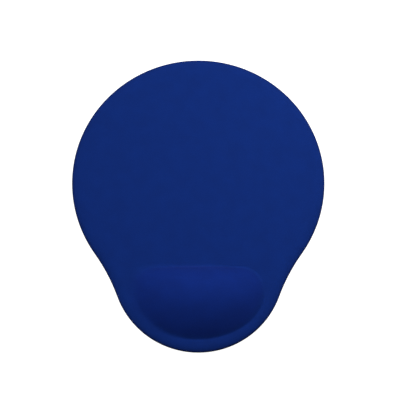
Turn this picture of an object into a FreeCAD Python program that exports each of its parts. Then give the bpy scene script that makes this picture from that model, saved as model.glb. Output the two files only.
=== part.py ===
import FreeCAD, Part
import math
import os
import Sketcher
from FreeCAD import Vector

# Mouse pad with a built-in gel wrist pillow, millimetres.
#
# The frame has +Z up. The origin is on the desk, under the middle of the pad's outline.
# The user sits on the -Y side, so the wrist pillow is at -Y and the mousing circle at +Y.
#
# The pad is a bonded stack. From the desk up it holds a rubber base, an adhesive film, a foam sheet,
# a sealed gel pack (lower film, gel, upper film), a laminate film and a knitted cover.
# The layers above the adhesive are nested: one layer's outer surface is the next layer's inner one.

DRIVING_DIMENSIONS = [
    # outline, seen from above
    ("pad_width", 190.0, "across the mousing circle"),
    ("pad_length", 224.0, "from the far edge to the heel"),
    ("flank_radius", 138.0, "concave flank between the circle and the heel"),
    ("heel_radius", 64.0, "round end under the wrist"),
    # layers, from the desk up
    ("pad_thickness", 4.0, "the flat part, fabric included"),
    ("grip_thickness", 1.0, "rubber base"),
    ("adhesive_thickness", 0.1, "hot-melt film between the base and the foam"),
    ("laminate_thickness", 0.1, "film bonded under the knit"),
    ("fabric_thickness", 0.5, "knitted cover"),
    ("rim_radius", 2.7, "roll of the cover at the rim"),
    # wrist pillow
    ("pillow_width", 98.0, "foot of the pillow, left to right"),
    ("pillow_depth", 54.5, "foot of the pillow, back edge to front edge"),
    ("pillow_height", 16.0, "above the flat cover"),
    ("ridge_setback", 18.4, "from the pillow's back edge to its ridge"),
    ("front_margin", 9.4, "flat cover between the pillow and the heel"),
    ("back_fullness", 2.2, "power of the profile behind the ridge"),
    ("side_fullness", 2.5, "power of the profile towards the sides"),
    ("front_fullness", 1.75, "power of the profile in front of the ridge"),
    # gel pack
    ("gel_film_thickness", 0.15, "each film of the gel pack"),
    ("flange_width", 4.0, "heat-sealed flange round the gel"),
]

# Heights of the pillow's level sections, as shares of its height. They crowd towards the top,
# where the surface turns level.
SECTION_SHARES = [0.0, 0.3, 0.6, 0.85, 0.96, 0.995]

# Each surface lies this far inside the outer surface of the cover.
COVER_INSET = "0"
LAMINATE_INSET = "dims.fabric_thickness"
CORE_INSET = "(dims.fabric_thickness + dims.laminate_thickness)"
GEL_INSET = "(dims.fabric_thickness + dims.laminate_thickness + dims.gel_film_thickness)"

# Heights of the joints between the layers.
STACK_LEVEL = "(dims.grip_thickness + dims.adhesive_thickness)"
FOAM_TOP_LEVEL = f"(dims.pad_thickness - {CORE_INSET})"
SEAL_LEVEL = f"({FOAM_TOP_LEVEL} - dims.gel_film_thickness)"
RECESS_LEVEL = f"({FOAM_TOP_LEVEL} - 2 * dims.gel_film_thickness)"

START, END, CENTRE = 1, 2, 3    # which point of a sketch edge a constraint holds
ORIGIN = -1                     # the sketch's own origin, as a geometry index
VERTICAL_AXIS = -2

doc = FreeCAD.newDocument("gel_mouse_pad")
dims = doc.addObject("Spreadsheet::Sheet", "dims")


def fill_sheet():
    """Write the driving dimensions into the spreadsheet, one row each."""
    for row, (alias, value, note) in enumerate(DRIVING_DIMENSIONS, start=1):
        dims.set(f"A{row}", alias)
        dims.set(f"B{row}", str(value))
        dims.set(f"C{row}", note)
        dims.setAlias(f"B{row}", alias)
    doc.recompute()


def value_of(expression):
    """The number that an expression over the sheet gives now, for a sketch's first guess."""
    return float(dims.evalExpression(expression))


def new_body(name):
    body = doc.addObject("PartDesign::Body", name)
    body.Label = name
    return body


def new_sketch(body, name, level):
    """A sketch parallel to the desk, at the height that the expression level gives."""
    sketch = body.newObject("Sketcher::SketchObject", name)
    plane = next(item for item in body.Origin.OriginFeatures if item.Role == "XY_Plane")
    sketch.AttachmentSupport = [(plane, "")]
    sketch.MapMode = "FlatFace"
    sketch.setExpression("AttachmentOffset.Base.z", level)
    return sketch


def arc(centre, radius, first_degrees, last_degrees):
    """A counter-clockwise arc of a circle."""
    circle = Part.Circle(Vector(*centre, 0), Vector(0, 0, 1), radius)
    return Part.ArcOfCircle(circle, math.radians(first_degrees), math.radians(last_degrees))


def constrain(sketch, kind, *places):
    return sketch.addConstraint(Sketcher.Constraint(kind, *places))


def dimension(sketch, name, kind, places, expression):
    """A named dimension bound to an expression. It starts at the expression's present value."""
    start_value = value_of(expression)
    index = sketch.addConstraint(Sketcher.Constraint(kind, *places, start_value))
    sketch.renameConstraint(index, name)
    sketch.setExpression(f"Constraints.{name}", expression)


def add_outline(body, name, level, inset):
    """The teardrop outline: mousing circle, concave flanks and heel, all tangent."""
    circle_centre_y = "dims.pad_length / 2 - dims.pad_width / 2"
    heel_centre_y = "dims.heel_radius - dims.pad_length / 2"
    circle_radius = f"dims.pad_width / 2 - {inset}"
    heel_radius = f"dims.heel_radius - {inset}"
    flank_radius = f"dims.flank_radius + {inset}"

    circle_y = value_of(circle_centre_y)
    heel_y = value_of(heel_centre_y)
    circle_r = value_of(circle_radius)
    heel_r = value_of(heel_radius)
    flank_r = value_of(flank_radius)
    gap = circle_y - heel_y
    to_circle = circle_r + flank_r
    to_heel = heel_r + flank_r
    drop = (to_circle ** 2 - to_heel ** 2 + gap ** 2) / (2 * gap)
    flank_x = math.sqrt(to_circle ** 2 - drop ** 2)
    flank_y = circle_y - drop
    circle_tilt = math.degrees(math.atan2(drop, flank_x))
    heel_tilt = math.degrees(math.atan2(heel_y - flank_y, flank_x))

    sketch = new_sketch(body, name, level)
    circle = sketch.addGeometry(arc((0, circle_y), circle_r, -circle_tilt, 180 + circle_tilt))
    left = sketch.addGeometry(arc((-flank_x, flank_y), flank_r, heel_tilt, circle_tilt))
    heel = sketch.addGeometry(arc((0, heel_y), heel_r, 180 + heel_tilt, 360 - heel_tilt))
    right = sketch.addGeometry(arc((flank_x, flank_y), flank_r, 180 - circle_tilt, 180 - heel_tilt))
    constrain(sketch, "Tangent", circle, END, left, END)
    constrain(sketch, "Tangent", left, START, heel, START)
    constrain(sketch, "Tangent", heel, END, right, END)
    constrain(sketch, "Tangent", right, START, circle, START)
    constrain(sketch, "Equal", left, right)
    constrain(sketch, "PointOnObject", circle, CENTRE, VERTICAL_AXIS)
    constrain(sketch, "PointOnObject", heel, CENTRE, VERTICAL_AXIS)
    dimension(sketch, "circle_radius", "Radius", (circle,), circle_radius)
    dimension(sketch, "heel_radius", "Radius", (heel,), heel_radius)
    dimension(sketch, "flank_radius", "Radius", (left,), flank_radius)
    dimension(sketch, "circle_centre", "DistanceY", (ORIGIN, START, circle, CENTRE), circle_centre_y)
    dimension(sketch, "heel_centre", "DistanceY", (ORIGIN, START, heel, CENTRE), heel_centre_y)
    return sketch


def add_pillow_section(body, name, level, inset, share):
    """A level section of the wrist pillow, at a share of its height.

    It is a D: a straight back edge, two round corners down to the widest line, and a front of three
    tangent arcs close to half an ellipse. The widest line lies under the ridge.
    """
    half_width = (
        f"(dims.pillow_width / 2 - {inset}) * (1 - {share}) ^ (1 / dims.side_fullness)"
    )
    back_depth = (
        f"(dims.ridge_setback - {inset})"
        f" * (1 - {share} ^ dims.back_fullness) ^ (1 / dims.back_fullness)"
    )
    front_depth = (
        f"(dims.pillow_depth - dims.ridge_setback - {inset})"
        f" * (1 - {share}) ^ (1 / dims.front_fullness)"
    )
    ridge_y = "dims.front_margin + dims.pillow_depth - dims.ridge_setback - dims.pad_length / 2"
    side_radius = f"({front_depth}) ^ 2 / ({half_width})"
    front_radius = f"({half_width}) * (({half_width}) + ({front_depth})) / (2 * ({front_depth}))"

    middle_y = value_of(ridge_y)
    half = value_of(half_width)
    back = value_of(back_depth)
    front = value_of(front_depth)
    side_r = value_of(side_radius)
    front_r = value_of(front_radius)
    corner_x = half - back
    side_x = half - side_r
    front_y = middle_y + front_r - front
    turn = math.degrees(math.atan2(front_y - middle_y, side_x))

    sketch = new_sketch(body, name, level)
    back_line = Part.LineSegment(
        Vector(-corner_x, middle_y + back, 0), Vector(corner_x, middle_y + back, 0)
    )
    edge = sketch.addGeometry(back_line)
    right_corner = sketch.addGeometry(arc((corner_x, middle_y), back, 0, 90))
    left_corner = sketch.addGeometry(arc((-corner_x, middle_y), back, 90, 180))
    right_side = sketch.addGeometry(arc((side_x, middle_y), side_r, -turn, 0))
    left_side = sketch.addGeometry(arc((-side_x, middle_y), side_r, 180, 180 + turn))
    nose = sketch.addGeometry(arc((0, front_y), front_r, 180 + turn, 360 - turn))
    constrain(sketch, "Horizontal", edge)
    constrain(sketch, "Tangent", edge, END, right_corner, END)
    constrain(sketch, "Tangent", edge, START, left_corner, START)
    constrain(sketch, "Tangent", right_corner, START, right_side, END)
    constrain(sketch, "Tangent", left_corner, END, left_side, START)
    constrain(sketch, "Tangent", right_side, START, nose, END)
    constrain(sketch, "Tangent", left_side, END, nose, START)
    constrain(sketch, "Equal", right_corner, left_corner)
    constrain(sketch, "Equal", right_side, left_side)
    dimension(sketch, "corner_radius", "Radius", (right_corner,), back_depth)
    dimension(sketch, "side_radius", "Radius", (right_side,), side_radius)
    dimension(sketch, "front_radius", "Radius", (nose,), front_radius)
    for label, part in (("corner", right_corner), ("right", right_side), ("left", left_side)):
        dimension(sketch, f"{label}_centre_y", "DistanceY", (ORIGIN, START, part, CENTRE), ridge_y)
    corner_offset = f"({half_width}) - ({back_depth})"
    dimension(sketch, "right_corner_x", "DistanceX", (ORIGIN, START, right_corner, CENTRE), corner_offset)
    dimension(sketch, "left_corner_x", "DistanceX", (left_corner, CENTRE, ORIGIN, START), corner_offset)
    return sketch


def add_pad(body, name, sketch, length):
    pad = body.newObject("PartDesign::Pad", name)
    pad.Profile = sketch
    pad.setExpression("Length", length)
    sketch.Visibility = False
    return pad


def add_sheet(body, inset, bottom, top):
    """A flat layer of the stack with the pad's outline."""
    outline = add_outline(body, f"{body.Name}_outline", bottom, inset)
    return add_pad(body, f"{body.Name}_sheet", outline, f"{top} - {bottom}")


def roll_rim(body, sheet, inset):
    """Round the top edge of a layer, concentric with the roll of the cover."""
    doc.recompute()
    top = sheet.Shape.BoundBox.ZMax
    rim = [
        f"Edge{number}"
        for number, edge in enumerate(sheet.Shape.Edges, start=1)
        if abs(edge.BoundBox.ZMin - top) < 1e-6 and abs(edge.BoundBox.ZMax - top) < 1e-6
    ]
    roll = body.newObject("PartDesign::Fillet", f"{body.Name}_rim")
    roll.Base = (sheet, rim)
    roll.setExpression("Radius", f"dims.rim_radius - {inset}")
    return roll


def raise_pillow(body, inset):
    """Loft the pillow's level sections, from its foot up to the crown."""
    foot = f"dims.pad_thickness - {inset}"
    sections = []
    for number, share in enumerate(SECTION_SHARES):
        level = f"{foot} + {share} * dims.pillow_height"
        section = add_pillow_section(body, f"{body.Name}_section_{number}", level, inset, share)
        section.Visibility = False
        sections.append(section)
    dome = body.newObject("PartDesign::AdditiveLoft", f"{body.Name}_dome")
    dome.Profile = sections[0]
    dome.Sections = sections[1:]
    return dome


def make_shaped_layer(name, inset):
    """The solid that fills everything under one nested surface, down to the adhesive."""
    body = new_body(name)
    top = f"(dims.pad_thickness - {inset})"
    sheet = add_sheet(body, inset, STACK_LEVEL, top)
    roll_rim(body, sheet, inset)
    raise_pillow(body, inset)
    return body


def subtract(name, outer, inner):
    """The shell left between two nested solids."""
    shell = doc.addObject("Part::Cut", name)
    shell.Label = name
    shell.Base = outer
    shell.Tool = inner
    return shell


def add_gel_outline(body, name, level, border):
    """The foot of the gel, level, with a border round it. A border is negative inwards."""
    return add_pillow_section(body, name, level, f"({GEL_INSET} - {border})", 0.0)


def make_grip_base():
    """Rubber sheet that holds the pad still on the desk."""
    body = new_body("grip_base")
    add_sheet(body, COVER_INSET, "0", "dims.grip_thickness")
    return body


def make_base_adhesive():
    """Hot-melt film between the rubber and the foam."""
    body = new_body("base_adhesive")
    add_sheet(body, COVER_INSET, "dims.grip_thickness", STACK_LEVEL)
    return body


def make_foam_sheet():
    """Foam sheet with a rolled rim and a shallow recess that takes the gel pack's flange."""
    body = new_body("foam_sheet")
    sheet = add_sheet(body, CORE_INSET, STACK_LEVEL, FOAM_TOP_LEVEL)
    roll_rim(body, sheet, CORE_INSET)
    outline = add_gel_outline(body, "flange_recess_outline", FOAM_TOP_LEVEL, "dims.flange_width")
    recess = body.newObject("PartDesign::Pocket", "flange_recess")
    recess.Profile = outline
    recess.setExpression("Length", "2 * dims.gel_film_thickness")
    outline.Visibility = False
    return body


def make_gel_lower_film():
    """Flat film under the gel. Its border is half of the heat-sealed flange."""
    body = new_body("gel_lower_film")
    outline = add_gel_outline(body, "lower_film_outline", RECESS_LEVEL, "dims.flange_width")
    add_pad(body, "lower_film_sheet", outline, "dims.gel_film_thickness")
    return body


def make_gel_core():
    """The gel: a low dome that fills the pack."""
    body = new_body("gel_core")
    raise_pillow(body, GEL_INSET)
    return body


def make_pack_form():
    """The solid that fills everything under the gel pack's upper film, flange included."""
    body = new_body("pack_form")
    outline = add_gel_outline(body, "upper_film_outline", SEAL_LEVEL, "dims.flange_width")
    add_pad(body, "upper_film_flange", outline, "dims.gel_film_thickness")
    raise_pillow(body, CORE_INSET)
    return body


def check_document():
    """Stop if any object of the document failed, or if a sketch has a free dimension left."""
    for item in doc.Objects:
        if "Invalid" in item.State or "Error" in item.State:
            raise RuntimeError(f"{item.Name} failed: {item.State}")
        if item.TypeId == "Sketcher::SketchObject" and not item.FullyConstrained:
            raise RuntimeError(f"{item.Name} is not fully constrained")


def export(nodes):
    """Write each node's solid to its own STEP file."""
    os.makedirs("parts", exist_ok=True)
    for node in nodes:
        shape = node.Shape
        if shape.isNull() or not shape.isValid() or len(shape.Solids) != 1:
            raise RuntimeError(f"{node.Label} is not one valid solid")
        shape.exportStep(f"parts/{node.Label}.step")
        print(f"{node.Label}: {shape.Volume / 1000:.2f} cm3")


fill_sheet()

grip_base = make_grip_base()
base_adhesive = make_base_adhesive()
foam_sheet = make_foam_sheet()
gel_lower_film = make_gel_lower_film()
gel_core = make_gel_core()

# Solids that only shape the three skins. They are nested, so each skin is one minus the next.
pack_form = make_pack_form()
core_form = make_shaped_layer("core_form", CORE_INSET)
laminate_form = make_shaped_layer("laminate_form", LAMINATE_INSET)
cover_form = make_shaped_layer("cover_form", COVER_INSET)

gel_upper_film = subtract("gel_upper_film", pack_form, gel_core)
cover_laminate = subtract("cover_laminate", laminate_form, core_form)
cover_fabric = subtract("cover_fabric", cover_form, laminate_form)

doc.recompute()
check_document()
export([
    grip_base,
    base_adhesive,
    foam_sheet,
    gel_lower_film,
    gel_core,
    gel_upper_film,
    cover_laminate,
    cover_fabric,
])
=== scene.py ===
import math

import bpy
import numpy as np
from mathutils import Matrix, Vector


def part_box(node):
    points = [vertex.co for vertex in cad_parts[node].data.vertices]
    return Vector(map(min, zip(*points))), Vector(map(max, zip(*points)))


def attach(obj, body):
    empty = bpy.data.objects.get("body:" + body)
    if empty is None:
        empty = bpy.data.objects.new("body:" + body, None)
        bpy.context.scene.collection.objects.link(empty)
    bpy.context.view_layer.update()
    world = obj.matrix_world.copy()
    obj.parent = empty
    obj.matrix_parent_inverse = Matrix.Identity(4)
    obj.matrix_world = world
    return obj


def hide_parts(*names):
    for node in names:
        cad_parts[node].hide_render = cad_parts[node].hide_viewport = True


# A gel mouse pad with a built-in wrist rest. One sheet, laid out from the frame's boxes, gives the
# shape of the knit cover and of every soft layer under it. The flat layers are the frame's own.

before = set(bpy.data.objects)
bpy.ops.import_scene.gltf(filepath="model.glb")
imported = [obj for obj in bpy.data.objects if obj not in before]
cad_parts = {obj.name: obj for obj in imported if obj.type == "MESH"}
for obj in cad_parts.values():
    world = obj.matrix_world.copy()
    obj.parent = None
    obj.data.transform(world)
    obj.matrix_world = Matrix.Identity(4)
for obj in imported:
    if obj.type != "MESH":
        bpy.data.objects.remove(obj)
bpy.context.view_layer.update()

MM = 0.001

# ---------------------------------------------------------------------------------------------
# Sizes. Lengths are in metres. The layers' places come from the frame's boxes.
# ---------------------------------------------------------------------------------------------

cover_low, cover_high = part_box("cover_fabric")
laminate_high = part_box("cover_laminate")[1]
foam_low, foam_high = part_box("foam_sheet")
gel_low, gel_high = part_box("gel_core")
film_low, film_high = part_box("gel_lower_film")

CIRCLE_RADIUS = cover_high[0]
HALF_LENGTH = cover_high[1]
FLANK_RADIUS = 138 * MM
HEEL_RADIUS = 64 * MM

# Thicknesses of the layers, and how far the gel lies inside the cover's outer surface.
FABRIC = cover_high[0] - laminate_high[0]
LAMINATE = laminate_high[0] - foam_high[0]
GEL_FILM = film_high[2] - film_low[2]
GEL_INSET = FABRIC + LAMINATE + GEL_FILM
FLANGE = film_high[0] - gel_high[0]

# The flat cover's height, where it ends below, and the elliptical turn of its rim.
FLAT_TOP = foam_high[2] + FABRIC + LAMINATE
COVER_FOOT = cover_low[2]
RIM_DROP = 2.7 * MM
RIM_WIDTH = 7.5 * MM

# The pillow's foot on the flat cover: a D with a slightly crowned back, widest on the line
# WIDEST_Y. Directions and reaches are measured from its middle, at MIDDLE_Y.
PILLOW_HALF_WIDTH = gel_high[0] + GEL_INSET
PILLOW_BACK = gel_high[1] + GEL_INSET
PILLOW_FRONT = gel_low[1] - GEL_INSET
PILLOW_TOP = cover_high[2]
CORNER_RADIUS = 17.7 * MM
BACK_CROWN = 0.75 * MM
WIDEST_Y = PILLOW_BACK - CORNER_RADIUS - BACK_CROWN
MIDDLE_Y = -70 * MM

# ---------------------------------------------------------------------------------------------
# Mesh plan: a square grid rounded into the pillow's D, then rings out to the rim.
# ---------------------------------------------------------------------------------------------

# The grid has HALF_GRID rings of squares, so COLUMNS points lie on its border and on every ring
# outside it. GRID_PULL above 1 crowds its rings towards the foot.
HALF_GRID = 30
COLUMNS = 8 * HALF_GRID
GRID_PULL = 1.35
FLAT_RINGS = 21
FLAT_CROWDING = 1.8
RIM_RINGS = 8

# How many points the outlines are read from.
ARC_POINTS = 400
FOOT_POINTS = 1200
RIM_POINTS = 100

# A point's share is 0 in the pillow's middle and 1 on its foot. Past FOOT_SHARE it counts as on the
# foot, and every point outside the foot has the share OUTSIDE.
FOOT_SHARE = 0.9999
OUTSIDE = 2.0

# The pillow's first form: where its crest lies between back and front, how full each side is, and
# its height as a share of the final one.
CREST_SHARE = 0.40
CREST_SKEW = 0.06
BACK_POWER = 2.6
FRONT_POWER = 1.42
LEFT_POWER = 1.7
RIGHT_POWER = 2.3
START_HEIGHT = 0.93

# The cloth has squares of CLOTH_STEP and is simulated CLOTH_SCALE times larger than life. It may
# rise by CLOTH_CAP at most, and its lift fades out towards the foot.
CLOTH_STEP = 1.5 * MM
CLOTH_SCALE = 20
CLOTH_FRAMES = 20
CLOTH_PRESSURE = 15
CLOTH_CAP = 5 * MM
FOOT_FADE = 8

# The gap left between neighbouring layers.
CLEARANCE = 0.02 * MM

# The cover bridges the crease round the pillow: by this much everywhere and more on the left.
CREASE = 1.5 * MM
LEFT_CREASE = 11 * MM


def around(points):
    """Each point's distance and direction from the pillow's middle."""
    x = points[:, 0]
    y = points[:, 1] - MIDDLE_Y
    return np.hypot(x, y), np.arctan2(y, x)


def polar_reach(points, angles):
    """How far an outline, given as points, lies from the pillow's middle in each direction."""
    away, turn = around(points)
    order = np.argsort(turn)
    return np.interp(angles, turn[order], away[order], period=2 * math.pi)


def arc_points(centre, radius, first, last):
    turn = np.linspace(first, last, ARC_POINTS)
    return np.stack([centre[0] + radius * np.cos(turn), centre[1] + radius * np.sin(turn)], axis=1)


def outline_points(inset):
    """The pad's outline moved inwards: mousing circle, concave flanks and heel, all tangent."""
    circle_y = HALF_LENGTH - CIRCLE_RADIUS
    heel_y = HEEL_RADIUS - HALF_LENGTH
    gap = circle_y - heel_y
    to_circle = CIRCLE_RADIUS + FLANK_RADIUS
    to_heel = HEEL_RADIUS + FLANK_RADIUS
    drop = (to_circle ** 2 - to_heel ** 2 + gap ** 2) / (2 * gap)
    flank_x = math.sqrt(to_circle ** 2 - drop ** 2)
    flank_y = circle_y - drop
    circle_tilt = math.atan2(drop, flank_x)
    heel_tilt = math.atan2(heel_y - flank_y, flank_x)
    circle = arc_points((0, circle_y), CIRCLE_RADIUS - inset, -circle_tilt, math.pi + circle_tilt)
    heel_start = math.pi + heel_tilt
    heel_end = 2 * math.pi - heel_tilt
    heel = arc_points((0, heel_y), HEEL_RADIUS - inset, heel_start, heel_end)
    left = arc_points((-flank_x, flank_y), FLANK_RADIUS + inset, circle_tilt, heel_tilt)
    right = left * (-1, 1)
    return np.concatenate([circle, left, heel, right])


def back_edge(x):
    """Where the pillow's foot ends at the back: slightly bowed, then round corners."""
    corner_x = PILLOW_HALF_WIDTH - CORNER_RADIUS
    bow = PILLOW_BACK - BACK_CROWN * (x / corner_x) ** 2
    beyond = np.clip(abs(x) - corner_x, 0, CORNER_RADIUS)
    corner = WIDEST_Y + np.sqrt(CORNER_RADIUS ** 2 - beyond ** 2)
    return np.where(abs(x) < corner_x, bow, corner)


def front_edge(x):
    """Where the pillow's foot ends in front: half an ellipse."""
    across = np.clip(x / PILLOW_HALF_WIDTH, -1, 1)
    return WIDEST_Y - (WIDEST_Y - PILLOW_FRONT) * np.sqrt(1 - across ** 2)


def foot_points():
    """The pillow's foot: a D with its straight side at the back."""
    x = PILLOW_HALF_WIDTH * np.cos(np.linspace(0, math.pi, FOOT_POINTS))
    back = np.stack([x, back_edge(x)], axis=1)
    front = np.stack([x[::-1], front_edge(x[::-1])], axis=1)
    return np.concatenate([back, front])


def foot_reach(angles):
    """How far the pillow's foot lies from its middle in each direction."""
    return polar_reach(foot_points(), angles)


def rim_curve(count):
    """The rounded rim as steps of (inset, drop): a quarter of a flat ellipse."""
    turn = np.linspace(0, math.pi / 2, count)
    return np.stack([RIM_WIDTH * (1 - np.sin(turn)), RIM_DROP * (1 - np.cos(turn))], axis=1)


def crowded(share):
    """Move the grid's rings outwards, so that they crowd towards the pillow's foot."""
    return share * (GRID_PULL + (1 - GRID_PULL) * share)


def rounded_grid():
    """A square grid mapped to a disc: each point's share of the way out, and its direction."""
    steps = np.arange(-HALF_GRID, HALF_GRID + 1)
    s, t = np.meshgrid(steps, steps, indexing="ij")
    ring = np.maximum(abs(s), abs(t))
    safe = np.maximum(ring, 1)
    wide = abs(s) >= abs(t)
    turn = np.where(
        wide,
        (math.pi / 4) * (t / safe) * np.sign(s) + np.where(s < 0, math.pi, 0),
        (math.pi / 2) * np.sign(t) - (math.pi / 4) * (s / safe) * np.sign(t),
    )
    return crowded(ring / HALF_GRID), np.mod(turn, 2 * math.pi)


def grid_quads(index):
    """The quads between the points of a rectangular grid, given by number."""
    quads = np.stack([index[:-1, :-1], index[1:, :-1], index[1:, 1:], index[:-1, 1:]], axis=-1)
    return quads.reshape(-1, 4)


def master_sheet():
    """The flat cover's outer surface as points, quads and each point's share."""
    share, turn = rounded_grid()
    reach = foot_reach(turn) * share
    grid = np.stack([reach * np.cos(turn), reach * np.sin(turn) + MIDDLE_Y], axis=-1).reshape(-1, 2)
    index = np.arange(share.size).reshape(share.shape)
    quads = [grid_quads(index)]

    border = np.unique(np.concatenate([index[0], index[-1], index[:, 0], index[:, -1]]))
    border = border[np.argsort(turn.reshape(-1)[border])]
    angles = turn.reshape(-1)[border]
    aim = np.stack([np.cos(angles), np.sin(angles)], axis=1)

    plan = [grid]
    heights = [np.full(len(grid), FLAT_TOP)]
    shares = [share.reshape(-1)]
    previous = border
    count = len(grid)

    def add_ring(reach, height):
        nonlocal previous, count
        ring = reach[:, None] * aim + (0, MIDDLE_Y)
        plan.append(ring)
        heights.append(np.full(COLUMNS, height))
        shares.append(np.full(COLUMNS, OUTSIDE))
        here = np.arange(count, count + COLUMNS)
        quads.append(np.stack([previous, here, np.roll(here, -1), np.roll(previous, -1)], axis=1))
        previous = here
        count += COLUMNS

    foot = foot_reach(angles)
    flat_edge = polar_reach(outline_points(RIM_WIDTH), angles)
    flat_steps = np.linspace(0, 1, FLAT_RINGS + 1)[1:] ** FLAT_CROWDING
    for step in flat_steps:
        add_ring(foot + (flat_edge - foot) * step, FLAT_TOP)
    for inset, drop in rim_curve(RIM_RINGS + 1)[1:]:
        add_ring(polar_reach(outline_points(inset), angles), FLAT_TOP - drop)
    add_ring(polar_reach(outline_points(0), angles), COVER_FOOT)

    flat = np.concatenate(plan)
    points = np.column_stack([flat, np.concatenate(heights)])
    return points, np.concatenate(quads), np.concatenate(shares)


def foot_share(points):
    """How far from the pillow's middle each point is, as a share of the way to its foot."""
    away, turn = around(points)
    return away / foot_reach(turn)


def start_form(points, share):
    """Raise the pillow's first form: its crest lies nearer the back, most of all on the left."""
    x = points[:, 0]
    y = points[:, 1]
    back = back_edge(x)
    front = front_edge(x)
    crest = back - (CREST_SHARE + CREST_SKEW * x / PILLOW_HALF_WIDTH) * (back - front)
    ahead = np.clip((crest - y) / np.maximum(crest - front, MM), 0, 1)
    behind = np.clip((y - crest) / np.maximum(back - crest, MM), 0, 1)
    across = np.clip(abs(x) / PILLOW_HALF_WIDTH, 0, 1)
    side = 1 - across ** np.where(x < 0, LEFT_POWER, RIGHT_POWER)
    rise = (1 - ahead ** FRONT_POWER) * (1 - behind ** BACK_POWER) * side
    height = (PILLOW_TOP - FLAT_TOP) * START_HEIGHT
    raised = points.copy()
    raised[:, 2] += np.where(share < FOOT_SHARE, height * rise, 0)
    return raised


def new_mesh_object(name, points, quads):
    mesh = bpy.data.meshes.new(name)
    mesh.from_pydata(points.tolist(), [], quads.tolist())
    mesh.update()
    obj = bpy.data.objects.new(name, mesh)
    bpy.context.scene.collection.objects.link(obj)
    return obj


def read_vectors(collection, field):
    flat = np.empty(len(collection) * 3, np.float32)
    collection.foreach_get(field, flat)
    return flat.reshape(-1, 3).astype(float)


def cloth_grid():
    """A plain square grid over the pillow, which swells evenly: points, quads, shape and corner."""
    low = np.array((-PILLOW_HALF_WIDTH, PILLOW_FRONT)) - CLOTH_STEP
    across = np.arange(low[0], PILLOW_HALF_WIDTH + 2 * CLOTH_STEP, CLOTH_STEP)
    along = np.arange(low[1], PILLOW_BACK + 2 * CLOTH_STEP, CLOTH_STEP)
    x, y = np.meshgrid(across, along, indexing="ij")
    flat = np.stack([x, y, np.full_like(x, FLAT_TOP)], axis=-1).reshape(-1, 3)
    index = np.arange(x.size).reshape(x.shape)
    return flat, grid_quads(index), x.shape, low


def sampled(grid, low, points):
    """Read a grid of values, CLOTH_STEP apart from its low corner, between its points."""
    place = (points[:, :2] - low) / CLOTH_STEP
    cell = np.clip(place.astype(int), 0, np.array(grid.shape) - 2)
    part = np.clip(place - cell, 0, 1)
    i, j = cell.T
    u, v = part.T
    first = grid[i, j] * (1 - v) + grid[i, j + 1] * v
    second = grid[i + 1, j] * (1 - v) + grid[i + 1, j + 1] * v
    return first * (1 - u) + second * u


def swell(points, share):
    """Blow the pillow up as cloth, bonded round its foot, and lift the sheet as the cloth rose."""
    flat, quads, shape, low = cloth_grid()
    grid_share = foot_share(flat)
    start = start_form(flat, grid_share)
    middle = np.array((0, MIDDLE_Y, FLAT_TOP))
    obj = new_mesh_object("pillow_cloth", (start - middle) * CLOTH_SCALE, quads)
    bonded = obj.vertex_groups.new(name="bonded")
    bonded.add(np.nonzero(grid_share >= FOOT_SHARE)[0].tolist(), 1.0, "REPLACE")
    cloth = obj.modifiers.new("cloth", "CLOTH")
    settings = cloth.settings
    settings.quality = 5
    settings.mass = 0.05
    settings.tension_stiffness = 20
    settings.compression_stiffness = 20
    settings.shear_stiffness = 10
    settings.bending_stiffness = 0.5
    settings.air_damping = 2
    settings.use_pressure = True
    settings.uniform_pressure_force = CLOTH_PRESSURE
    settings.vertex_group_mass = "bonded"
    settings.effector_weights.gravity = 0
    scene = bpy.context.scene
    for number in range(1, CLOTH_FRAMES + 1):
        scene.frame_set(number)
    evaluated = obj.evaluated_get(bpy.context.evaluated_depsgraph_get())
    blown = read_vectors(evaluated.data.vertices, "co") / CLOTH_SCALE + middle
    scene.frame_set(1)
    bpy.data.objects.remove(obj)
    lift = np.clip(blown[:, 2] - start[:, 2], 0, CLOTH_CAP).reshape(shape)
    swollen = points.copy()
    swollen[:, 2] += sampled(lift, low, points) * (1 - np.minimum(share, 1) ** FOOT_FADE)
    return swollen


def foot_slope(points, share, turn, outside):
    """How steeply the dome leaves the flat cover, read two rings inside its foot."""
    inner = np.isclose(share, crowded(1 - 2 / HALF_GRID))
    slope = (points[inner, 2] - FLAT_TOP) / -outside[inner]
    order = np.argsort(turn[inner])
    return np.interp(turn, turn[inner][order], slope[order], period=2 * math.pi)


def soften_foot(points, share):
    """Round the crease at the pillow's foot with a bridge of even curvature."""
    away, turn = around(points)
    outside = away - foot_reach(turn)
    slope = foot_slope(points, share, turn, outside)
    side = np.clip(points[:, 0] / PILLOW_HALF_WIDTH, -1, 1)
    half_bridge = (CREASE + LEFT_CREASE * np.minimum(side, 0) ** 2) / 2
    reach = slope * half_bridge
    rise = np.where(outside < 0, points[:, 2] - FLAT_TOP, -slope * outside)
    bridge = (rise + reach) ** 2 / (4 * reach)
    bridged = (abs(rise) < reach) & (outside < half_bridge)
    softened = points.copy()
    softened[bridged, 2] = np.minimum(points[bridged, 2], FLAT_TOP) + bridge[bridged]
    return softened


def finished_sheet():
    """The cover's outer surface: laid out, raised, blown up to its height, softened at the foot."""
    points, quads, share = master_sheet()
    points = start_form(points, share)
    points = swell(points, share)
    rise = (PILLOW_TOP - FLAT_TOP) / (points[:, 2].max() - FLAT_TOP)
    inside = share < FOOT_SHARE
    points[inside, 2] = FLAT_TOP + (points[inside, 2] - FLAT_TOP) * rise
    return soften_foot(points, share), quads, share


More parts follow.
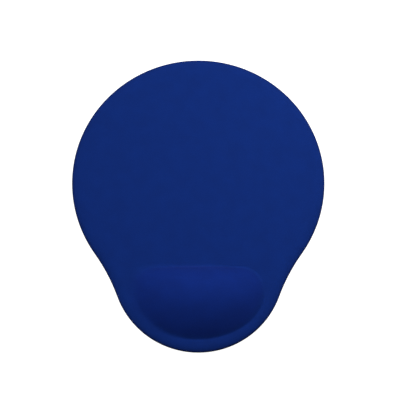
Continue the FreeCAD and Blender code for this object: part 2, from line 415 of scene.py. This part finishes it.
def smoothed(points, quads):
    """One Catmull-Clark step: the finer sheet's points and quads."""
    obj = new_mesh_object("smooth", points, quads)
    step = obj.modifiers.new("smooth", "SUBSURF")
    step.levels = 1
    step.render_levels = 1
    evaluated = obj.evaluated_get(bpy.context.evaluated_depsgraph_get())
    mesh = evaluated.data
    fine = read_vectors(mesh.vertices, "co")
    corners = np.empty(len(mesh.loops), np.int32)
    mesh.loops.foreach_get("vertex_index", corners)
    bpy.data.objects.remove(obj)
    return fine, corners.reshape(-1, 4)


def normals_of(points, quads):
    obj = new_mesh_object("normals", points, quads)
    normals = read_vectors(obj.data.vertex_normals, "vector")
    bpy.data.objects.remove(obj)
    return normals


def rim_loop(quads):
    """The open border of a sheet, as an ordered list of points."""
    directed = set()
    for quad in quads.tolist():
        directed.update(zip(quad, quad[1:] + quad[:1]))
    follows = {a: b for a, b in directed if (b, a) not in directed}
    first = min(follows)
    loop = [first]
    while follows[loop[-1]] != first:
        loop.append(follows[loop[-1]])
    return np.array(loop)


def shell(name, outer, inner, quads):
    """A closed skin between two copies of one sheet."""
    count = len(outer)
    loop = rim_loop(quads)
    after = np.roll(loop, -1)
    band = np.stack([after, loop, loop + count, after + count], axis=1)
    faces = np.concatenate([quads, quads[:, ::-1] + count, band])
    obj = new_mesh_object(name, np.concatenate([outer, inner]), faces)
    obj.data.shade_smooth()
    return obj


# ---------------------------------------------------------------------------------------------
# Materials. Colours are linear light.
# ---------------------------------------------------------------------------------------------

# The knit: the width of a column of stitches, the height of a row, and how far a V slants.
WALE = 0.6 * MM
COURSE = 0.45 * MM
STITCH_SLANT = 0.9
STITCH_DEPTH = 0.12 * MM

# The yarn; the grooves between its stitches, darker with painted shade; the palest worn knit, which
# also gives the painted highlight round the pillow's foot; the sheen; and how much painted shade
# darkens the rim's lower turn.
YARN_BLUE = (0.0013, 0.0186, 0.1490)
GROOVE_SHADE_BLUE = (0.0009, 0.0122, 0.1000)
WORN_AND_LIT_BLUE = (0.0030, 0.0300, 0.2200)
SHEEN_TINT = (0.35, 0.35, 1.0)
EDGE_SHADE = 0.5

# Painted light: the knit on the pillow gets a violet cast, standing in for the tint of the light in
# its shade, from this far up its side.
PILLOW_FILL_TINT = (1.10, 0.92, 1.08)
TINT_RISE = 3 * MM

# Painted highlight: a pale line round the pillow's foot, painted into the knit's colour where its
# rise faces the light.
# Its strength, its place inside the foot, its width, the side it is strongest on as a turn from the
# right, and how far it spreads.
FOOT_HIGHLIGHT = 0.6
FOOT_HIGHLIGHT_INSET = 0.9 * MM
FOOT_HIGHLIGHT_WIDTH = 1.0 * MM
FOOT_HIGHLIGHT_FACING = math.radians(80)
FOOT_HIGHLIGHT_SPREAD = 1.6

# How far the pillow's crest is rubbed pale.
CREST_WEAR = 0.1

STUD_PITCH = 1.5 * MM
RUBBER_BLACK = (0.010, 0.010, 0.011)
RUBBER_BLOOM = (0.028, 0.027, 0.026)
RUBBER_SCUFF = (0.060, 0.058, 0.055)

GLUE_AMBER = (0.34, 0.22, 0.09)
GLUE_PALE = (0.50, 0.36, 0.18)
GLUE_WINDOW = (0.62, 0.54, 0.38)

# Painted shade in the foam's pores, then the foam's own tones.
PORE_SHADE_BLACK = (0.008, 0.008, 0.009)
FOAM_DARK = (0.030, 0.030, 0.033)
FOAM_DUST = (0.055, 0.055, 0.060)

FILM_CLEAR = (0.42, 0.55, 0.66)
FILM_HAZE = (0.60, 0.70, 0.78)

GEL_DEEP = (0.10, 0.28, 0.52)
GEL_CLOUD = (0.22, 0.45, 0.68)
GEL_BUBBLE = (0.65, 0.80, 0.90)
GEL_SCATTER = (2 * MM, 4 * MM, 8 * MM)

DOT_PITCH = 1.2 * MM
DOT_BLUE = (0.16, 0.22, 0.40)
BACKING_DARK = (0.030, 0.070, 0.220)
BACKING_PALE = (0.060, 0.110, 0.290)


class Look:
    """One procedural material: a Principled shader, and short calls for the nodes that feed it."""

    def __init__(self, name):
        self.material = bpy.data.materials.new(name)
        self.material.use_nodes = True
        self.tree = self.material.node_tree
        self.shader = self.tree.nodes["Principled BSDF"]

    def feed(self, socket, value):
        if isinstance(value, bpy.types.NodeSocket):
            self.tree.links.new(value, socket)
        elif isinstance(value, tuple) and socket.type == "RGBA":
            socket.default_value = (*value, 1)
        else:
            socket.default_value = value

    def set(self, name, value):
        self.feed(self.shader.inputs[name], value)

    def node(self, kind, **inputs):
        made = self.tree.nodes.new(kind)
        for name, value in inputs.items():
            self.feed(made.inputs[name], value)
        return made

    def calc(self, operation, a, b=0.0):
        made = self.tree.nodes.new("ShaderNodeMath")
        made.operation = operation
        self.feed(made.inputs[0], a)
        self.feed(made.inputs[1], b)
        return made.outputs[0]

    def between(self, share, low, high):
        """A number that runs from low to high as share runs from 0 to 1."""
        return self.calc("ADD", self.calc("MULTIPLY", share, high - low), low)

    def blend(self, share, first, second, mode="MIX"):
        made = self.tree.nodes.new("ShaderNodeMix")
        made.data_type = "RGBA"
        made.blend_type = mode
        self.feed(made.inputs["Factor"], share)
        self.feed(made.inputs[6], first)
        self.feed(made.inputs[7], second)
        return made.outputs[2]

    def tinted(self, colour, shade):
        """The colour, brighter or darker by the factor shade."""
        made = self.node("ShaderNodeCombineColor", Red=shade, Green=shade, Blue=shade)
        return self.blend(1.0, colour, made.outputs[0], "MULTIPLY")

    def here(self):
        return self.tree.nodes.new("ShaderNodeTexCoord").outputs["Object"]

    def attribute(self, name, output):
        made = self.tree.nodes.new("ShaderNodeAttribute")
        made.attribute_name = name
        return made.outputs[output]

    def axes(self, where):
        """The place's x and y."""
        parts = self.node("ShaderNodeSeparateXYZ", Vector=where).outputs
        return parts["X"], parts["Y"]

    def wave(self, length, pitch):
        """A sine of the length: 2 pitches make one full wave."""
        return self.calc("SINE", self.calc("MULTIPLY", length, math.pi / pitch))

    def noise(self, where, size, detail=2.0):
        made = self.node("ShaderNodeTexNoise", Vector=where, Scale=1 / size, Detail=detail)
        return made.outputs["Fac"]

    def cells(self, where, size, feature="F1"):
        made = self.node("ShaderNodeTexVoronoi", Vector=where, Scale=1 / size)
        made.feature = feature
        return made.outputs["Distance"]

    def relief(self, height, depth, strength=1.0):
        made = self.node("ShaderNodeBump", Height=height, Distance=depth, Strength=strength)
        self.set("Normal", made.outputs["Normal"])


def knit_stitches(look, weave):
    """Height of a plain knit: columns of V stitches, 0 in the grooves and 1 on the yarn."""
    across, along = look.axes(weave)
    column = look.calc("FRACT", look.calc("DIVIDE", across, WALE))
    leg = look.calc("MULTIPLY", look.calc("ABSOLUTE", look.calc("SUBTRACT", column, 0.5)), 2.0)
    ridge = look.calc("SINE", look.calc("MULTIPLY", leg, math.pi))
    climb = look.calc("MULTIPLY", leg, STITCH_SLANT)
    row = look.calc("SUBTRACT", look.calc("DIVIDE", along, COURSE), climb)
    loop = look.calc("COSINE", look.calc("MULTIPLY", row, 2 * math.pi))
    return look.calc("MULTIPLY", ridge, look.between(loop, 0.7, 1.0))


def knit_material():
    """Blue knitted nylon: V stitches with painted shade in their grooves, heathered yarn, soft
    blotches, pale wear with a painted highlight, painted shade down the rim, and a painted violet
    cast on the pillow.
    """
    look = Look("blue_knit")
    weave = look.attribute("weave", "Vector")
    wear_and_highlight = look.attribute("wear_and_highlight", "Fac")
    rim_shade = look.attribute("rim_shade", "Fac")
    pillow = look.attribute("pillow", "Fac")
    stitch = knit_stitches(look, weave)
    fuzz = look.noise(weave, size=0.25 * MM)
    heather = look.noise(weave, size=0.9 * MM)
    blotch = look.noise(weave, size=11 * MM, detail=3.0)
    # Painted shade: the grooves between stitches are darker.
    yarn = look.blend(stitch, GROOVE_SHADE_BLUE, YARN_BLUE)
    # Pale wear on the crest, and a painted highlight along the pillow's foot, mixed into the
    # colour.
    rubbed_and_lit = look.calc("MULTIPLY", wear_and_highlight, look.between(look.noise(weave, size=3 * MM), 0.0, 0.8))
    worn_and_lit = look.blend(rubbed_and_lit, yarn, WORN_AND_LIT_BLUE)
    # Painted light: a violet cast over the pillow.
    tinted = look.blend(pillow, worn_and_lit, PILLOW_FILL_TINT, "MULTIPLY")
    fleck = look.between(heather, 0.8, 1.2)
    patch = look.between(blotch, 0.86, 1.14)
    mottle = look.calc("MULTIPLY", fleck, patch)
    # Painted shade: the knit darkens down the rim's turn.
    shade = look.calc("MULTIPLY", mottle, look.between(rim_shade, 1.0, EDGE_SHADE))
    look.set("Base Color", look.tinted(tinted, shade))
    yarn_shine = look.calc("MULTIPLY", stitch, 0.08)
    shine = look.calc("ADD", yarn_shine, look.calc("MULTIPLY", rubbed_and_lit, 0.1))
    look.set("Roughness", look.calc("SUBTRACT", look.between(fuzz, 0.86, 1.0), shine))
    look.set("Specular IOR Level", 0.1)
    look.set("Sheen Weight", 0.03)
    look.set("Sheen Roughness", 0.45)
    look.set("Sheen Tint", SHEEN_TINT)
    height = look.calc("ADD", stitch, look.calc("MULTIPLY", fuzz, 0.35))
    look.relief(height, STITCH_DEPTH, strength=0.6)
    return look.material


def rubber_material():
    """Black rubber with a fine moulded stud pattern, grey bloom and scuffed stud tops."""
    look = Look("grip_rubber")
    here = look.here()
    across, along = look.axes(here)
    rising = look.wave(look.calc("ADD", across, along), STUD_PITCH)
    falling = look.wave(look.calc("SUBTRACT", across, along), STUD_PITCH)
    stud = look.calc("ABSOLUTE", look.calc("MULTIPLY", rising, falling))
    bloom = look.noise(here, size=14 * MM, detail=4.0)
    grain = look.noise(here, size=0.3 * MM)
    dark = look.blend(bloom, RUBBER_BLACK, RUBBER_BLOOM)
    scuffed = look.calc("MULTIPLY", look.calc("POWER", stud, 4.0), look.between(grain, 0.0, 0.7))
    look.set("Base Color", look.blend(scuffed, dark, RUBBER_SCUFF))
    look.set("Roughness", look.between(grain, 0.62, 0.9))
    look.set("Specular IOR Level", 0.35)
    look.relief(look.calc("ADD", stud, look.calc("MULTIPLY", grain, 0.15)), depth=0.25 * MM)
    return look.material


def hot_melt_material():
    """Amber hot-melt web: a net of glue threads with thinner, paler windows."""
    look = Look("hot_melt")
    here = look.here()
    window = look.cells(here, size=3 * MM, feature="DISTANCE_TO_EDGE")
    net = look.calc("MINIMUM", look.calc("MULTIPLY", window, 6.0), 1.0)
    cloud = look.noise(here, size=6 * MM, detail=3.0)
    thread = look.blend(cloud, GLUE_AMBER, GLUE_PALE)
    look.set("Base Color", look.blend(net, thread, GLUE_WINDOW))
    look.set("Roughness", look.between(cloud, 0.25, 0.5))
    look.relief(look.calc("SUBTRACT", 1.0, net), depth=0.05 * MM)
    return look.material


def foam_material():
    """Dark sponge rubber with open pores of two sizes, painted shade in the larger pores, and a
    dusty tone.
    """
    look = Look("foam")
    here = look.here()
    pores = look.cells(here, size=0.9 * MM)
    fine = look.cells(here, size=0.35 * MM)
    tone = look.noise(here, size=8 * MM, detail=3.0)
    body = look.blend(tone, FOAM_DARK, FOAM_DUST)
    # Painted shade: the pores darken to black at their middles.
    look.set("Base Color", look.blend(look.calc("POWER", pores, 2.0), PORE_SHADE_BLACK, body))
    look.set("Roughness", look.between(fine, 0.85, 1.0))
    look.set("Specular IOR Level", 0.2)
    look.relief(look.calc("ADD", pores, look.calc("MULTIPLY", fine, 0.4)), depth=0.3 * MM)
    return look.material


def gel_film_material():
    """Glossy polyurethane film, faintly blue, with the fine creases of heat welding."""
    look = Look("gel_film")
    here = look.here()
    crease = look.cells(here, size=5 * MM, feature="DISTANCE_TO_EDGE")
    haze = look.noise(here, size=9 * MM, detail=3.0)
    look.set("Base Color", look.blend(haze, FILM_CLEAR, FILM_HAZE))
    look.set("Roughness", look.between(haze, 0.08, 0.28))
    look.set("Coat Weight", 0.4)
    look.relief(look.calc("ADD", crease, look.noise(here, size=1.2 * MM)), depth=0.06 * MM)
    return look.material


def gel_material():
    """Soft translucent blue gel with cloudy depth and a few trapped bubbles."""
    look = Look("gel")
    here = look.here()
    cloud = look.noise(here, size=18 * MM, detail=3.0)
    bubble = look.calc("LESS_THAN", look.cells(here, size=4 * MM), 0.12)
    clouded = look.blend(cloud, GEL_DEEP, GEL_CLOUD)
    look.set("Base Color", look.blend(look.calc("MULTIPLY", bubble, 0.7), clouded, GEL_BUBBLE))
    look.set("Roughness", look.between(cloud, 0.10, 0.22))
    look.set("Subsurface Weight", 0.35)
    look.set("Subsurface Radius", GEL_SCATTER)
    look.set("Subsurface Scale", 1.0)
    look.relief(look.calc("ADD", cloud, bubble), depth=0.1 * MM)
    return look.material


def laminate_material():
    """Thin bonding film on the back of the knit: blue showing through a grid of glue dots."""
    look = Look("laminate")
    weave = look.attribute("weave", "Vector")
    across, along = look.axes(weave)
    waves = look.calc("MULTIPLY", look.wave(across, DOT_PITCH / 2), look.wave(along, DOT_PITCH / 2))
    dot = look.calc("GREATER_THAN", waves, 0.35)
    haze = look.noise(weave, size=7 * MM, detail=3.0)
    film = look.blend(haze, BACKING_DARK, BACKING_PALE)
    look.set("Base Color", look.blend(dot, film, DOT_BLUE))
    look.set("Roughness", look.between(haze, 0.35, 0.55))
    look.relief(look.calc("ADD", dot, haze), depth=0.03 * MM)
    return look.material


# ---------------------------------------------------------------------------------------------
# The pieces
# ---------------------------------------------------------------------------------------------

# The frame's own solids that stay, with the material each one gets.
KEPT_NODES = {
    "grip_base": rubber_material,
    "base_adhesive": hot_melt_material,
    "gel_lower_film": gel_film_material,
}

points, quads, share = finished_sheet()
normals = normals_of(points, quads)
fine_points, fine_quads = smoothed(points, quads)
fine_normals = normals_of(fine_points, fine_quads)


def place(obj, node, material):
    """Give a piece its material, hide the CAD node it replaces, and fix it to the pad."""
    obj.data.materials.append(material)
    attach(obj, "root")
    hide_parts(node)


def unrolled(surface, outward):
    """Each point's place in the cloth with the rim laid flat, so that the knit runs over it."""
    drop = np.maximum(FLAT_TOP - surface[:, 2], 0)
    curve = rim_curve(RIM_POINTS)
    inset, depth = curve.T
    steps = np.diff(curve, axis=0, prepend=curve[:1])
    length = np.cumsum(np.linalg.norm(steps, axis=1))
    extra = np.interp(drop, depth, length + inset - RIM_WIDTH) + np.maximum(drop - RIM_DROP, 0)
    sideways = np.linalg.norm(outward[:, :2], axis=1, keepdims=True)
    aim = outward[:, :2] / np.maximum(sideways, 1e-9)
    return np.column_stack([surface[:, :2] + aim * extra[:, None], np.zeros(len(surface))])


def wear_and_highlight_of(surface):
    """Where the knit is pale: rubbed on the pillow's crest, and a painted highlight along its foot.
    """
    crest = np.clip((surface[:, 2] - FLAT_TOP) / (PILLOW_TOP - FLAT_TOP), 0, 1) ** 4
    away, turn = around(surface)
    past = away - foot_reach(turn) + FOOT_HIGHLIGHT_INSET
    facing = np.clip(FOOT_HIGHLIGHT_SPREAD * np.cos(turn - FOOT_HIGHLIGHT_FACING), 0, 1)
    # Painted highlight: a pale line along the foot, strongest on the side the light comes from.
    foot_highlight = np.exp(-((past / FOOT_HIGHLIGHT_WIDTH) ** 2)) * facing
    return CREST_WEAR * crest + FOOT_HIGHLIGHT * foot_highlight


def rim_shade_of(surface):
    """How far down the rim each point is: painted shade makes the knit darker down the rim's turn.
    """
    return np.clip((FLAT_TOP - surface[:, 2]) / RIM_DROP, 0, 1) ** 2


def pillow_of(surface):
    """How far up the pillow's side each point is, for the painted violet cast: 1 from TINT_RISE
    above the flat cover.
    """
    return np.clip((surface[:, 2] - FLAT_TOP) / TINT_RISE, 0, 1)


def add_weave(obj, surface, outward):
    """Store what the material reads at each point, on both sides of a skin."""
    laid_out = np.tile(unrolled(surface, outward), (2, 1)).astype(np.float32)
    weave = obj.data.attributes.new("weave", "FLOAT_VECTOR", "POINT")
    weave.data.foreach_set("vector", laid_out.ravel())
    for name, measure in (("wear_and_highlight", wear_and_highlight_of), ("rim_shade", rim_shade_of), ("pillow", pillow_of)):
        attribute = obj.data.attributes.new(name, "FLOAT", "POINT")
        attribute.data.foreach_set("value", np.tile(measure(surface), 2).astype(np.float32))


def part_of_sheet(keep):
    """The quads whose corners are all kept, and the kept points' new numbers."""
    kept = quads[keep[quads].all(axis=1)]
    used = np.unique(kept)
    renumber = np.zeros(len(points), int)
    renumber[used] = np.arange(len(used))
    return used, renumber[kept]


def add_cover():
    inner = fine_points - fine_normals * FABRIC
    obj = shell("knit_cover", fine_points, inner, fine_quads)
    add_weave(obj, fine_points, fine_normals)
    place(obj, "cover_fabric", knit_material())


def add_laminate():
    outer = points - normals * (FABRIC + CLEARANCE)
    inner = points - normals * (FABRIC + LAMINATE)
    obj = shell("laminate_film", outer, inner, quads)
    add_weave(obj, points, normals)
    place(obj, "cover_laminate", laminate_material())


def over_gel_pack():
    """Which points of the sheet lie over the gel pack and its flange."""
    away, turn = around(points)
    return away < foot_reach(turn) + FLANGE


def add_upper_film():
    used, kept = part_of_sheet(over_gel_pack())
    outer = (points - normals * (FABRIC + LAMINATE + CLEARANCE))[used]
    inner = (points - normals * GEL_INSET)[used]
    place(shell("gel_top_film", outer, inner, kept), "gel_upper_film", gel_film_material())


def add_foam():
    """The foam follows the rounded rim, and has a shallow recess for the gel pack."""
    top = points - normals * (FABRIC + LAMINATE + CLEARANCE)
    floor = np.where(over_gel_pack(), film_low[2] - CLEARANCE, foam_high[2] - CLEARANCE)
    top[:, 2] = np.minimum(top[:, 2], floor)
    bottom = top.copy()
    bottom[:, 2] = foam_low[2]
    top[:, 2] = np.maximum(top[:, 2], foam_low[2] + CLEARANCE)
    place(shell("foam_pad", top, bottom, quads), "foam_sheet", foam_material())


def add_gel():
    used, kept = part_of_sheet(share < OUTSIDE)
    top = (points - normals * (GEL_INSET + CLEARANCE))[used]
    bottom = top.copy()
    bottom[:, 2] = gel_low[2]
    top[:, 2] = np.maximum(top[:, 2], gel_low[2] + CLEARANCE)
    place(shell("gel_pillow", top, bottom, kept), "gel_core", gel_material())


add_cover()
add_laminate()
add_upper_film()
add_foam()
add_gel()
for node, make_material in KEPT_NODES.items():
    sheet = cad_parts[node]
    sheet.data.materials.clear()
    sheet.data.materials.append(make_material())

# ---------------------------------------------------------------------------------------------
# Stage, lights and camera
# ---------------------------------------------------------------------------------------------

# Each softbox: its direction round the pad (0 is right, 90 behind) and its rise above the table in
# degrees, its distance in metres and its power in watts.
LIGHTS = ((45, 50, 0.6, 3.8), (135, 60, 1.3, 6.9), (180, 50, 1.3, 5.3))
LIGHT_SPREAD = 0.46
LIGHT_AIM = (0, -20 * MM, 0)

FLOOR_HALF = 3.0
FLOOR_COLOUR = (0.3, 0.3, 0.3)
FLOOR_GLOW = 1.0

# The camera's tilt from straight down in degrees, its lens in mm and its distance in metres.
CAMERA_TILT = 12.5
CAMERA_LENS = 120
CAMERA_DISTANCE = 0.999
CAMERA_AIM = (1.3 * MM, 2.1 * MM, 2 * MM)


def add_light(direction, rise, distance, power):
    """A round softbox aimed at the pad."""
    turn = math.radians(direction)
    climb = math.radians(rise)
    level = math.cos(climb)
    away = Vector((math.cos(turn) * level, math.sin(turn) * level, math.sin(climb)))
    light = bpy.data.lights.new("softbox", "AREA")
    light.shape = "DISK"
    light.size = distance * LIGHT_SPREAD
    light.energy = power
    obj = bpy.data.objects.new("softbox", light)
    obj.location = Vector(LIGHT_AIM) + away * distance
    obj.rotation_euler = away.to_track_quat("Z", "Y").to_euler()
    bpy.context.scene.collection.objects.link(obj)


def floor_material():
    """A pale sheet that glows for the camera alone: it looks white without lighting the pad."""
    look = Look("floor")
    seen = look.node("ShaderNodeLightPath").outputs["Is Camera Ray"]
    look.set("Base Color", FLOOR_COLOUR)
    look.set("Roughness", 0.9)
    look.set("Emission Color", (1.0, 1.0, 1.0))
    look.set("Emission Strength", look.calc("MULTIPLY", seen, FLOOR_GLOW))
    return look.material


def add_floor():
    sides = (-FLOOR_HALF, FLOOR_HALF)
    corners = np.array([(x, y, 0) for y in sides for x in sides])
    floor = new_mesh_object("floor", corners, np.array([[0, 1, 3, 2]]))
    floor.data.materials.append(floor_material())


def add_camera():
    """The photo's view: almost straight down, from a little in front of the pad."""
    tilt = math.radians(CAMERA_TILT)
    camera = bpy.data.cameras.new("camera")
    camera.lens = CAMERA_LENS
    camera.clip_start = 0.05
    obj = bpy.data.objects.new("camera", camera)
    back = Vector((0, -math.sin(tilt), math.cos(tilt)))
    obj.location = Vector(CAMERA_AIM) + back * CAMERA_DISTANCE
    obj.rotation_euler = (tilt, 0, 0)
    bpy.context.scene.collection.objects.link(obj)
    bpy.context.scene.camera = obj


def add_world():
    """White behind the floor for the camera alone: all light comes from the softboxes."""
    world = bpy.data.worlds.new("world")
    world.use_nodes = True
    tree = world.node_tree
    background = tree.nodes["Background"]
    background.inputs["Color"].default_value = (1, 1, 1, 1)
    seen = tree.nodes.new("ShaderNodeLightPath").outputs["Is Camera Ray"]
    tree.links.new(seen, background.inputs["Strength"])
    bpy.context.scene.world = world


add_floor()
add_camera()
add_world()
for direction, rise, distance, power in LIGHTS:
    add_light(direction, rise, distance, power)
bpy.context.scene.view_settings.view_transform = "Standard"
